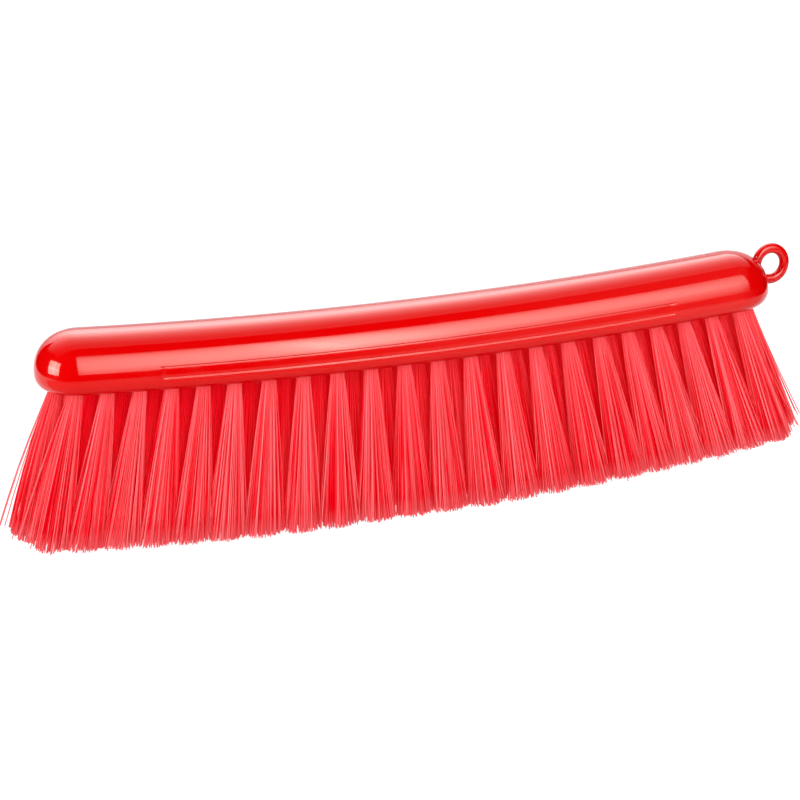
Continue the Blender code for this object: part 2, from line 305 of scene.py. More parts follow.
class FlourBrushBristles(bpy.types.PropertyGroup):
    """Sizes and colours of the bristle tufts."""

    filaments: IntProperty(
        name="Filaments", description="Filaments in one tuft, counted at its tips",
        default=230, min=20, max=400,
    )
    thickness: FloatProperty(
        name="Filament Thickness", description="Thickness of one filament",
        default=0.00050, min=0.0001, max=0.001, unit="LENGTH", precision=5,
    )
    clumps: IntProperty(
        name="Clumps", description="Clumps that the filaments of a tuft gather into at their tips",
        default=60, min=1, max=80,
    )
    spread: FloatProperty(
        name="Tip Spread", description="Half of a tuft's width at its tips, along the brush",
        default=0.0083, min=0.002, max=0.012, unit="LENGTH", precision=4,
    )
    side_spread: FloatProperty(
        name="Side Spread", description="Half of a tuft's width at its tips, across the brush",
        default=0.0058, min=0.002, max=0.012, unit="LENGTH", precision=4,
    )
    raggedness: FloatProperty(
        name="Raggedness", description="How much shorter than the trim line a filament may be",
        default=0.0008, min=0.0, max=0.005, unit="LENGTH", precision=4,
    )
    colour: FloatVectorProperty(
        name="Filament Colour", description="Colour of the dyed filaments",
        default=linear("#CC666A"), size=4, min=0.0, max=1.0, subtype="COLOR",
    )
    # Paler colour painted on the tips: painted light that lifts them out of the shade near the floor
    lit_tip_colour: FloatVectorProperty(
        name="Tip Colour", description="Colour of the cut tips",
        default=linear("#DA767C"), size=4, min=0.0, max=1.0, subtype="COLOR",
    )


class FlourBrushStudio(bpy.types.PropertyGroup):
    """Colours and light levels of the studio."""

    floor_colour: FloatVectorProperty(
        name="Floor Colour", description="Colour of the pale floor",
        default=linear("#707070"), size=4, min=0.0, max=1.0, subtype="COLOR",
    )
    front_level: FloatProperty(
        name="Front Light", description="Brightness of the softbox in front of the brush",
        default=13.0, min=0.0, max=100.0,
    )
    back_level: FloatProperty(
        name="Back Light", description="Brightness of the light above and behind the brush",
        default=4.8, min=0.0, max=100.0,
    )
    side_level: FloatProperty(
        name="Side Light", description="Brightness of the small softbox at the left end",
        default=20.0, min=0.0, max=100.0,
    )
    fill_level: FloatProperty(
        name="Fill Light", description="Brightness of the even light from all round",
        default=0.44, min=0.0, max=10.0,
    )


def on_block(run, across, height):
    """World point at a run along the block's curve, a distance across and a height over its underside."""
    angle = run / SWEEP_RADIUS
    reach = SWEEP_RADIUS - height
    rise = SWEEP_RADIUS - reach * math.cos(angle)
    return Vector((reach * math.sin(angle), across, UNDERSIDE_Z + rise))


def bend(bm):
    """Carry a shape drawn straight, as run, across and height, onto the block's curve."""
    for vert in bm.verts:
        vert.co = on_block(*vert.co)


def new_object(name, bm, material=None):
    """Object from a bmesh, with its faces pointing out."""
    bmesh.ops.recalc_face_normals(bm, faces=bm.faces)
    mesh = bpy.data.meshes.new(name)
    bm.to_mesh(mesh)
    bm.free()
    item = bpy.data.objects.new(name, mesh)
    bpy.context.scene.collection.objects.link(item)
    if material:
        mesh.materials.append(material)
    return item


def draw_out(bm, rim, vec):
    """Extrude a row of edges along a vector, and give back the new row."""
    drawn = bmesh.ops.extrude_edge_only(bm, edges=rim)["geom"]
    bmesh.ops.translate(bm, verts=[part for part in drawn if isinstance(part, bmesh.types.BMVert)], vec=vec)
    return [part for part in drawn if isinstance(part, bmesh.types.BMEdge)]


def sweep_round(bm, rim, centre, axis, angle, steps):
    """Spin a row of edges about an axis, and give back the last row."""
    verts = list(dict.fromkeys(vert for edge in rim for vert in edge.verts))
    spun = bmesh.ops.spin(
        bm, geom=verts + rim, cent=centre, axis=axis, dvec=(0.0, 0.0, 0.0), angle=angle, steps=steps,
        use_merge=False, use_duplicate=False,
    )["geom_last"]
    return [part for part in spun if isinstance(part, bmesh.types.BMEdge)]


def combine(item, tool, operation):
    """Join a tool into an object or cut it away, and remove the tool."""
    modifier = item.modifiers.new(operation.lower(), "BOOLEAN")
    modifier.object = tool
    modifier.operation = operation
    modifier.solver = "MANIFOLD"
    graph = bpy.context.evaluated_depsgraph_get()
    shaped = bpy.data.meshes.new_from_object(item.evaluated_get(graph))
    item.modifiers.clear()
    item.data = shaped
    bpy.data.objects.remove(tool, do_unlink=True)


def smoothstep(value, start, end):
    """Soft step from 0 at start to 1 at end."""
    share = min(max((value - start) / (end - start), 0.0), 1.0)
    return share * share * (3.0 - 2.0 * share)


def side_reach(height):
    """Distance from the block's middle plane to its side, at a height over the underside."""
    half_width = BLOCK_WIDTH / 2
    if height >= WIDEST_HEIGHT:
        up = (height - WIDEST_HEIGHT) / (BLOCK_HEIGHT - WIDEST_HEIGHT)
        return half_width * (1.0 - up ** BACK_FULLNESS) ** (1 / BACK_FULLNESS)
    down = (WIDEST_HEIGHT - height) / WIDEST_HEIGHT
    bulge = (1.0 - down ** BACK_FULLNESS) ** (1 / BACK_FULLNESS)
    return UNDERSIDE_HALF + (half_width - UNDERSIDE_HALF) * bulge


def block_outline():
    """Half section of the block, with its points closest together where the recess is."""
    angles = [math.pi / 2 * step / SECTION_STEPS for step in range(SECTION_STEPS + 1)]
    rising = [WIDEST_HEIGHT * (1.0 - math.cos(angle) ** (2 / BACK_FULLNESS)) for angle in angles]
    domed = BLOCK_HEIGHT - WIDEST_HEIGHT
    falling = [WIDEST_HEIGHT + domed * math.sin(angle) ** (2 / BACK_FULLNESS) for angle in angles]
    band_steps = round((BAND_HIGH - BAND_LOW) / BAND_STEP)
    band = [BAND_LOW + (BAND_HIGH - BAND_LOW) * step / band_steps for step in range(band_steps + 1)]
    lower = [height for height in rising if height < BAND_LOW - BAND_STEP]
    upper = [height for height in falling if height > BAND_HIGH + BAND_STEP]
    upper[-1] = BLOCK_HEIGHT
    sides = [(side_reach(height), height) for height in lower + band + upper]
    sides[-1] = (0.0, BLOCK_HEIGHT)
    return [(0.0, 0.0)] + sides


def bar_columns(half_run, panel_end):
    """Runs of the block's columns from its dome to its middle, closest together where the recess ends."""
    reach = RECESS_RUN_OUT + RECESS_SHIFT
    count = round(half_run / COLUMN_STEP)
    even = [half_run * step / count for step in range(count)]
    fine_steps = round(2 * reach / END_STEP)
    fine = [panel_end - reach + END_STEP * step for step in range(fine_steps + 1)]
    kept = [run for run in even if abs(run - panel_end) > reach + END_STEP]
    return sorted(kept + fine, reverse=True)


def rounded_bar(half_run, outline, columns):
    """Straight bar with revolved ends, from half of its section."""
    bm = bmesh.new()
    verts = [bm.verts.new((half_run, -across, height)) for across, height in outline]
    for lower, upper in zip(verts, verts[1:]):
        bm.edges.new((lower, upper))
    sweep_round(bm, bm.edges[:], (half_run, 0.0, 0.0), (0.0, 0.0, 1.0), math.pi, DOME_STEPS)
    bmesh.ops.remove_doubles(bm, verts=bm.verts, dist=MERGE_DISTANCE)
    rim = [edge for edge in bm.edges if edge.is_boundary]
    place = half_run
    for run in columns:
        rim = draw_out(bm, rim, (run - place, 0.0, 0.0))
        place = run
    half = bm.verts[:] + bm.edges[:] + bm.faces[:]
    bmesh.ops.mirror(bm, geom=half, matrix=Matrix(), merge_dist=MERGE_DISTANCE, axis="X")
    return bm


def press_recess(bm, sizes):
    """Press the long recess into both sides of the straight block."""
    panel_end = sizes.panel_length / 2
    for vert in bm.verts:
        run, across, height = vert.co
        along = abs(run - RECESS_SHIFT)
        if not BAND_LOW < height < BAND_HIGH or along > panel_end:
            continue
        top = 1.0 - smoothstep(height, RECESS_TOP - RECESS_TOP_SOFTNESS, RECESS_TOP + RECESS_TOP_SOFTNESS)
        foot = smoothstep(height, RECESS_FOOT - RECESS_FOOT_SOFTNESS, RECESS_FOOT + RECESS_FOOT_SOFTNESS)
        lip = smoothstep(height, LIP_FOOT - LIP_FOOT_SOFTNESS, LIP_FOOT + LIP_FOOT_SOFTNESS)
        end = 1.0 - smoothstep(along, panel_end - RECESS_RUN_OUT, panel_end)
        fillet = smoothstep(height, RECESS_TOP - RECESS_FILLET_RUN, RECESS_TOP - RECESS_TOP_SOFTNESS)
        depth = sizes.lip_depth * lip + (sizes.panel_depth - sizes.lip_depth) * foot + RECESS_FILLET * fillet
        vert.co.y -= math.copysign(depth * top * end, across)


def eye_piece(sizes):
    """The hanging eye: a ring of round section, a little taller than wide, turned into the block's end."""
    ring = (sizes.eye_bore + sizes.eye_wire) / 2
    centre_height = BLOCK_HEIGHT - ring * EYE_STRETCH - sizes.eye_wire / 2
    centre = Vector((BLOCK_LENGTH / 2 + EYE_STANDOFF, 0.0, centre_height))
    upper = centre - Vector((ring, 0.0, 0.0))
    bm = bmesh.new()
    bmesh.ops.create_circle(
        bm, cap_ends=False, segments=EYE_WIRE_SIDES, radius=sizes.eye_wire / 2,
        matrix=Matrix.Translation(upper),
    )
    first = bm.edges[:]
    last = sweep_round(bm, first, centre, (0.0, 1.0, 0.0), EYE_UPPER_ANGLE - EYE_LOWER_ANGLE, EYE_ARC_STEPS)
    bmesh.ops.scale(bm, verts=bm.verts, vec=(1.0, 1.0, EYE_STRETCH), space=Matrix.Translation(-centre))
    heading = Vector((math.sin(EYE_LOWER_ANGLE), 0.0, -math.cos(EYE_LOWER_ANGLE) * EYE_STRETCH))
    last_run = centre.x + ring * math.cos(EYE_LOWER_ANGLE)
    last = draw_out(bm, last, heading * (last_run - BLOCK_LENGTH / 2 + EYE_BURY) / -heading.x)
    elbow = upper - Vector((EYE_ELBOW, 0.0, 0.0))
    first = sweep_round(bm, first, elbow, (0.0, 1.0, 0.0), math.pi / 2, EYE_ELBOW_STEPS)
    bmesh.ops.holes_fill(bm, edges=first + last, sides=EYE_WIRE_SIDES)
    bend(bm)
    return new_object("eye", bm)


def tuft_places(row):
    """Runs of the tufts of a row: -1 for the front row, 0 for the middle row and 1 for the back row."""
    centre_gap = FIELD_LENGTH / (CENTRE_GAPS + (2 * END_GAPS + 1) * END_GAP_RATIO)
    end_gap = centre_gap * END_GAP_RATIO
    outer = [-FIELD_LENGTH / 2 + end_gap / 2]
    for gap in [end_gap] * END_GAPS + [centre_gap] * CENTRE_GAPS + [end_gap] * END_GAPS:
        outer.append(outer[-1] + gap)
    if row:
        return outer
    between = [(left + right) / 2 for left, right in zip(outer, outer[1:])]
    return [-FIELD_LENGTH / 2 - LEFT_ROOM] + between + [FIELD_LENGTH / 2]


def tuft_frame(run, row):
    """Matrix of a tuft: its origin on the underside, its Z axis up the hole, tilted by fan and splay."""
    origin = on_block(run, row * ROW_SPACING, 0.0)
    curve = Matrix.Rotation(-run / SWEEP_RADIUS, 4, "Y")
    fan = Matrix.Rotation(-END_FAN * run / (FIELD_LENGTH / 2), 4, "Y")
    splay = Matrix.Rotation(SIDE_SPLAY * row, 4, "X")
    return Matrix.Translation(origin) @ curve @ fan @ splay


def hole_cutter():
    """Blind holes for all the tufts, each drilled along its own tuft."""
    bm = bmesh.new()
    for row in (-1, 0, 1):
        for run in tuft_places(row):
            centre = Matrix.Translation((0.0, 0.0, (HOLE_DEPTH - HOLE_MOUTH) / 2))
            bmesh.ops.create_cone(
                bm, cap_ends=True, cap_tris=False, segments=HOLE_SIDES, radius1=HOLE_RADIUS,
                radius2=HOLE_RADIUS, depth=HOLE_DEPTH + HOLE_MOUTH, matrix=tuft_frame(run, row) @ centre,
            )
    return new_object("holes", bm)


def moulded_polypropylene(colour):
    """Injection-moulded polypropylene from a polished mould: deep even colour under a clear gloss,
    with a faint waviness that softens the edges of mirrored lights, and a few rubbed marks."""
    material = bpy.data.materials.new("moulded_polypropylene")
    material.use_nodes = True
    tree = material.node_tree
    shader = tree.nodes["Principled BSDF"]
    shader.inputs["IOR"].default_value = 1.49
    shader.inputs["Specular Tint"].default_value = (1.0, 1.0, 0.88, 1.0)
    place = add_node(tree, "ShaderNodeTexCoord").outputs["Object"]
    waves = add_node(tree, "ShaderNodeTexNoise", inputs={
        "Vector": place, "Scale": 1 / POLISH_WAVE, "Detail": 2.0,
    })
    bump = add_node(tree, "ShaderNodeBump", inputs={
        "Height": waves.outputs["Fac"], "Strength": POLISH_STRENGTH, "Distance": POLISH_DEPTH,
    })
    rubbed = add_node(tree, "ShaderNodeTexNoise", inputs={
        "Vector": place, "Scale": 1 / RUBBED_PATCH, "Detail": 6.0,
    })
    rough = add_node(tree, "ShaderNodeMapRange", inputs={
        "Value": rubbed.outputs["Fac"], "From Min": RUBBED_RANGE[0], "From Max": RUBBED_RANGE[1],
        "To Min": GLOSS_ROUGHNESS[0], "To Max": GLOSS_ROUGHNESS[1],
    })
    tone = add_node(tree, "ShaderNodeTexNoise", inputs={
        "Vector": place, "Scale": 1 / DYE_DRIFT, "Detail": 3.0,
    })
    deeper = (colour[0] * DYE_DEEPENING, colour[1], colour[2], 1.0)
    mixed = add_node(tree, "ShaderNodeMix", {"data_type": "RGBA"}, {
        "Factor": tone.outputs["Fac"], "A": tuple(colour), "B": deeper,
    })
    tree.links.new(mixed.outputs["Result"], shader.inputs["Base Color"])
    tree.links.new(rough.outputs["Result"], shader.inputs["Roughness"])
    tree.links.new(bump.outputs["Normal"], shader.inputs["Normal"])
    return material


def extruded_polyester(colour, lit_tip_colour):
    """Extruded, dyed polyester filament: a satin that reads as coral where the tuft faces the light,
    each filament mixed by its tone between its own colour and a painted groove shade, with painted light
    that makes the tips paler. Packed filaments pass light on to each other, which fills the grooves with
    deep red: a faint red emission over all the filaments stands for that, a painted glow."""
    material = bpy.data.materials.new("extruded_polyester_filament")
    material.use_nodes = True
    tree = material.node_tree
    shader = tree.nodes["Principled BSDF"]
    shader.inputs["IOR"].default_value = 1.57
    shader.inputs["Roughness"].default_value = 0.36
    shader.inputs["Specular IOR Level"].default_value = 0.06
    shader.inputs["Specular Tint"].default_value = (1.0, 0.6, 0.7, 1.0)
    # Painted glow: a faint red emission over all the filaments stands for light passed between them
    shader.inputs["Emission Color"].default_value = linear(PAINTED_GLOW_COLOUR)
    shader.inputs["Emission Strength"].default_value = PAINTED_GLOW
    tone = add_node(tree, "ShaderNodeAttribute", {"attribute_name": "tone"})
    along = add_node(tree, "ShaderNodeAttribute", {"attribute_name": "along"})
    # Painted shade of the grooves: the filament colour with each channel cut to its share
    groove_shade = (*(channel * share for channel, share in zip(colour, GROOVE_SHADE_SHARE)), 1.0)
    body = add_node(tree, "ShaderNodeMix", {"data_type": "RGBA"}, {
        "Factor": tone.outputs["Fac"], "A": groove_shade, "B": tuple(colour),
    })
    # Painted light: towards its tip each filament is mixed with the paler tip colour
    near_tip = add_node(tree, "ShaderNodeMapRange", inputs={
        "Value": along.outputs["Fac"], "From Min": TIP_START, "From Max": 1.0,
        "To Min": 0.0, "To Max": TIP_PAINTED_LIGHT,
    })
    mixed = add_node(tree, "ShaderNodeMix", {"data_type": "RGBA"}, {
        "Factor": near_tip.outputs["Result"], "A": body.outputs["Result"], "B": tuple(lit_tip_colour),
    })
    tree.links.new(mixed.outputs["Result"], shader.inputs["Base Color"])
    return material


class FLOURBRUSH_OT_block(bpy.types.Operator):
    """Add the moulded block with its recesses, tuft holes and hanging eye"""

    bl_idname = "flour_brush.add_block"
    bl_label = "Add Block"

    def execute(self, context):
        sizes = context.scene.flour_brush_block
        half_run = BLOCK_LENGTH / 2 - BLOCK_WIDTH / 2
        bm = rounded_bar(half_run, block_outline(), bar_columns(half_run, sizes.panel_length / 2))
        press_recess(bm, sizes)
        bend(bm)
        block = new_object("moulded_block", bm, moulded_polypropylene(sizes.colour))
        combine(block, eye_piece(sizes), "UNION")
        combine(block, hole_cutter(), "DIFFERENCE")
        block.data.shade_smooth()
        block.data.set_sharp_from_angle(angle=SHARP_ANGLE)
        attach(block, "root")
        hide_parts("block")
        return {"FINISHED"}


def filament_bundle(count):
    """Mesh of a number of upright filaments of unit length and radius, one after another."""
    bm = bmesh.new()
    bmesh.ops.create_circle(bm, cap_ends=True, segments=FILAMENT_SIDES, radius=1.0)
    face = bm.faces[:]
    for _ in range(FILAMENT_SEGMENTS):
        drawn = bmesh.ops.extrude_face_region(bm, geom=face)["geom"]
        moved = [part for part in drawn if isinstance(part, bmesh.types.BMVert)]
        bmesh.ops.delete(bm, geom=face, context="FACES_ONLY")
        face = [part for part in drawn if isinstance(part, bmesh.types.BMFace)]
        bmesh.ops.translate(bm, verts=moved, vec=(0.0, 0.0, -1.0 / FILAMENT_SEGMENTS))
    bmesh.ops.recalc_face_normals(bm, faces=bm.faces)
    one = bpy.data.meshes.new("filament")
    bm.to_mesh(one)
    bm.free()
    bm = bmesh.new()
    for _ in range(count):
        bm.from_mesh(one)
    bundle = bpy.data.meshes.new("filament_bundle")
    bm.to_mesh(bundle)
    bm.free()
    bpy.data.meshes.remove(one)
    bundle.shade_smooth()
    return bundle


def spiral(count, jitter, rng):
    """Points spread evenly over a unit disc, each moved a little."""
    order = np.arange(count) + 0.5
    radius = np.sqrt(order / count)
    angle = order * GOLDEN_TURN
    points = np.stack([radius * np.cos(angle), radius * np.sin(angle)], axis=1)
    return points + rng.normal(0.0, jitter / math.sqrt(count), (count, 2))


def trim_share(start, through):
    """Share of the way from start to a second point at which each filament is trimmed or stands."""
    ray = through - start
    across = ray[:, [0, 2]]
    offset = start[:, [0, 2]] - np.array([TRIM_SHIFT, TRIM_RADIUS - STANDING_FLAT])
    along = np.sum(across * offset, axis=1)
    square = np.sum(across * across, axis=1)
    spare = TRIM_RADIUS ** 2 - np.sum(offset * offset, axis=1)
    to_trim = (-along + np.sqrt(along * along + square * spare)) / square
    to_floor = -start[:, 2] / ray[:, 2]
    return np.minimum(to_trim, to_floor)


def comb_tuft(mesh, frame_matrix, sizes, row, outward, rng):
    """Set the filaments of a bundle as one tuft: packed at the root, fanned and clumped at the tips.

    A tuft at an end of its row is told which way is outward (-1 or 1). On that side it leans by its own
    amount, its trim is rounded off, and it has a few stray filaments.
    """
    count = sizes.filaments
    disc = spiral(count, ROOT_JITTER, rng)
    roots = disc * (TUFT_DIAMETER / 2 - sizes.thickness / 2)
    reach = np.array([sizes.spread, sizes.side_spread])
    centres = spiral(sizes.clumps, CLUMP_JITTER, rng) * reach
    tips = disc * reach
    clump = np.argmin(np.sum((tips[:, None, :] - centres[None, :, :]) ** 2, axis=2), axis=1)
    gathered = (centres[clump] - tips) * rng.uniform(0.0, CLUMP_PULL, (sizes.clumps, 1))[clump]
    bow = rng.normal(0.0, FILAMENT_BOW, (count, 2))
    corner = np.zeros(count)
    if outward:
        lean, bulge, rounding = LEFT_END if outward < 0.0 else RIGHT_END
        outer = np.clip(disc[:, 0] * outward, 0.0, 1.0)
        tips[:, 0] += outward * lean * outer
        bow[:, 0] += outward * bulge * outer
        corner = rounding * outer ** 2
    wander = rng.normal(0.0, FILAMENT_WANDER, (count, 2))
    odd = rng.random(count) < ODD_SHARE
    wander[odd] += rng.normal(0.0, ODD_WANDER, (int(odd.sum()), 2))
    radius = np.full((count, 1), sizes.thickness / 2)
    if outward:
        strays = np.array(STRAYS) * (outward, 1.0)
        outermost = np.argsort(-disc[:, 0] * outward)[:len(strays)]
        wander[outermost] += strays
        radius[outermost] *= STRAY_THICKNESS
    matrix = np.array(frame_matrix)
    start = to_world(matrix, roots, np.full(count, ROOT_DEPTH))
    aim = to_world(matrix, tips + gathered + wander, np.full(count, -BRISTLE_TRIM))
    clump_short = rng.random(sizes.clumps)[clump]
    ragged = sizes.raggedness * (0.5 * clump_short + 0.5 * rng.random(count)) ** 2
    shorter = (ragged + corner) / BRISTLE_TRIM
    full = trim_share(start, aim) * (1.0 - shorter)
    shape = np.zeros(len(mesh.vertices) * 3)
    mesh.vertices.foreach_get("co", shape)
    shape = shape.reshape(count, -1, 3)
    station = -shape[:, :, 2]
    share = station * full[:, None]
    plan = roots[:, None, :] + (tips - roots)[:, None, :] * share[:, :, None]
    plan += (gathered + wander)[:, None, :] * (share ** WANDER_CURVE)[:, :, None]
    plan += bow[:, None, :] * np.sin(math.pi * np.clip(share, 0.0, 1.0))[:, :, None]
    spin = rng.uniform(0.0, math.tau, count)[:, None]
    turned_x = shape[:, :, 0] * np.cos(spin) - shape[:, :, 1] * np.sin(spin)
    turned_y = shape[:, :, 0] * np.sin(spin) + shape[:, :, 1] * np.cos(spin)
    plan += np.stack([turned_x, turned_y], axis=2) * radius[:, :, None]
    depth = ROOT_DEPTH - (ROOT_DEPTH + BRISTLE_TRIM) * share
    world = to_world(matrix, plan.reshape(-1, 2), depth.reshape(-1))
    world[:, 2] = np.maximum(world[:, 2], 0.0)
    mesh.vertices.foreach_set("co", world.reshape(-1))
    odd_tone = rng.normal(0.0, CLUMP_TONE_SPREAD, sizes.clumps)[clump] + rng.normal(0.0, TONE_SPREAD, count)
    inner = row != -1 and not outward
    tone_tuft(mesh, station, odd_tone, inner_shade(matrix[0, 3]) if inner else 1.0)
    mesh.update()


def inner_shade(run):
    """Painted shade: share of its tone that a tuft behind the front row keeps at its root, at a run along
    the brush.
    """
    rightward = smoothstep(run, *INNER_SHADE_RUNS)
    return INNER_SHADE[0] + (INNER_SHADE[1] - INNER_SHADE[0]) * rightward


def tone_tuft(mesh, station, odd_tone, shade):
    """Give each filament its tone from root to tip, with painted shade at the root where other tufts shade
    it.
    """
    tone = ROOT_TONE + (TIP_TONE - ROOT_TONE) * station + odd_tone[:, None] * np.sqrt(station)
    tone = np.clip(tone, 0.0, 1.0) * (shade + (1.0 - shade) * station ** 2)
    for name, values in (("tone", tone.reshape(-1)), ("along", station.reshape(-1))):
        attribute = mesh.attributes.new(name, "FLOAT", "POINT")
        attribute.data.foreach_set("value", values.astype(np.float32))


def to_world(matrix, plan, depth):
    """World points of points given across a tuft and along it."""
    local = np.column_stack([plan, depth, np.ones(len(depth))])
    return (local @ matrix.T)[:, :3]


class FLOURBRUSH_OT_bristles(bpy.types.Operator):
    """Add the filament tufts of the front, middle and back rows"""

    bl_idname = "flour_brush.add_bristles"
    bl_label = "Add Bristles"

    def execute(self, context):
        sizes = context.scene.flour_brush_bristles
        material = extruded_polyester(sizes.colour, sizes.lit_tip_colour)
        bundle = filament_bundle(sizes.filaments)
        for side, row in (("front", -1), ("back", 1)):
            for number, mesh in enumerate(self.row_meshes(bundle, sizes, row), start=1):
                self.place_tuft(f"bristles_{side}_{number:02d}", mesh, material, f"tuft_{side}_{number:02d}")
        bm = bmesh.new()
        for mesh in self.row_meshes(bundle, sizes, 0):
            bm.from_mesh(mesh)
            bpy.data.meshes.remove(mesh)
        middle = bpy.data.meshes.new("bristles_middle")
        bm.to_mesh(middle)
        bm.free()
        self.place_tuft("bristles_middle", middle, material, "middle_row")
        bpy.data.meshes.remove(bundle)
        return {"FINISHED"}

    def row_meshes(self, bundle, sizes, row):
        """The combed meshes of a row's tufts, each from its own seed."""
        places = tuft_places(row)
        for number, run in enumerate(places, start=1):
            mesh = bundle.copy()
            rng = np.random.default_rng(ROW_SEEDS * (row + 2) + number)
            outward = {1: -1.0, len(places): 1.0}.get(number, 0.0)
            comb_tuft(mesh, tuft_frame(run, row), sizes, row, outward, rng)
            yield mesh

    def place_tuft(self, name, mesh, material, node):
        """Object for a combed mesh, shown in place of a node of the CAD model."""
        mesh.materials.append(material)
        tuft = bpy.data.objects.new(name, mesh)
        bpy.context.scene.collection.objects.link(tuft)
        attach(tuft, "root")
        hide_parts(node)


def pale_floor(colour):
    """Opal acrylic sheet lit from below, as product tables are: an even white without gloss, whose own
    light thins the shadows."""
    material = bpy.data.materials.new("backlit_opal_acrylic")
    material.use_nodes = True
    shader = material.node_tree.nodes["Principled BSDF"]
    shader.inputs["Base Color"].default_value = tuple(colour)
    shader.inputs["Roughness"].default_value = 0.9
    shader.inputs["Specular IOR Level"].default_value = 0.1
    shader.inputs["Emission Color"].default_value = (1.0, 1.0, 1.0, 1.0)
    shader.inputs["Emission Strength"].default_value = FLOOR_GLOW
    return material


def matt_card(name, stops):
    """Matt card whose grey runs along the brush through stops of (place along X, colour)."""
    material = bpy.data.materials.new(name)
    material.use_nodes = True
    tree = material.node_tree
    shader = tree.nodes["Principled BSDF"]
    place = add_node(tree, "ShaderNodeTexCoord").outputs["Object"]
    split = add_node(tree, "ShaderNodeSeparateXYZ", inputs={"Vector": place})
    first, last = stops[0][0], stops[-1][0]
    share = add_node(tree, "ShaderNodeMapRange", inputs={
        "Value": split.outputs["X"], "From Min": first, "From Max": last,
    })
    greys = [((along - first) / (last - first), linear(code)) for along, code in stops]
    ramp = add_node(tree, "ShaderNodeValToRGB", inputs={"Fac": share.outputs["Result"]})
    set_stops(ramp, greys)
    tree.links.new(ramp.outputs["Color"], shader.inputs["Base Color"])
    shader.inputs["Roughness"].default_value = 1.0
    shader.inputs["Specular IOR Level"].default_value = 0.0
    return material


def set_stops(ramp, stops):
    """Give a colour ramp its stops, as (position, colour) pairs in order."""
    elements = ramp.color_ramp.elements
    elements[0].position, elements[0].color = stops[0]
    elements[1].position, elements[1].color = stops[-1]
    for position, colour in stops[1:-1]:
        elements.new(position).color = colour


def card_sheet(width, length):
    """Flat sheet of a width along X and a length along Y, centred on the origin."""
    bm = bmesh.new()
    bmesh.ops.create_grid(bm, x_segments=1, y_segments=1, size=0.5)
    bmesh.ops.scale(bm, verts=bm.verts, vec=(width, length, 1.0))
    return bm


def show_in_gloss(card):
    """Let a card be seen only where a glossy surface mirrors it."""
    card.visible_camera = False
    card.visible_diffuse = False
    card.visible_transmission = False
    card.visible_shadow = False


def soft_light(name, centre, facing, up, size, level, across, upward, lean=0.0):
    """Softbox as an area light whose brightness follows stops across it and up it.

    With a lean, the upward stops sit lower on its near side than on its far side.
    """
    light = bpy.data.lights.new(name, "AREA")
    light.shape = "RECTANGLE"
    light.size, light.size_y = size
    light.energy = 1.0
    light.use_nodes = True
    tree = light.node_tree
    emission = tree.nodes["Emission"]
    emission.inputs["Color"].default_value = linear(LIGHT_COLOUR)
    parametric = add_node(tree, "ShaderNodeNewGeometry").outputs["Parametric"]
    split = add_node(tree, "ShaderNodeSeparateXYZ", inputs={"Vector": parametric})
    shift = add_node(tree, "ShaderNodeMath", {"operation": "MULTIPLY_ADD"}, {
        0: split.outputs["X"], 1: -lean / (1.0 + lean), 2: lean / (1.0 + lean),
    })
    height = add_node(tree, "ShaderNodeMath", {"operation": "MULTIPLY_ADD"}, {
        0: split.outputs["Y"], 1: 1.0 / (1.0 + lean), 2: shift.outputs["Value"],
    })
    ramps = []
    for place, stops in ((split.outputs["X"], across), (height.outputs["Value"], upward)):
        ramp = add_node(tree, "ShaderNodeValToRGB", inputs={"Fac": place})
        set_stops(ramp, [(position, (share, share, share, 1.0)) for position, share in stops])
        ramps.append(ramp.outputs["Color"])
    product = add_node(tree, "ShaderNodeMath", {"operation": "MULTIPLY"}, {0: ramps[0], 1: ramps[1]})
    strength = add_node(tree, "ShaderNodeMath", {"operation": "MULTIPLY"}, {
        0: product.outputs["Value"], 1: level * size[0] * size[1] * math.pi,
    })
    tree.links.new(strength.outputs["Value"], emission.inputs["Strength"])
    item = bpy.data.objects.new(name, light)
    bpy.context.scene.collection.objects.link(item)
    back = -Vector(facing).normalized()
    side = Vector(up).cross(back).normalized()
    rotation = Matrix((side, back.cross(side), back)).transposed()
    item.matrix_world = Matrix.Translation(centre) @ rotation.to_4x4()
    item.visible_camera = False
    return item


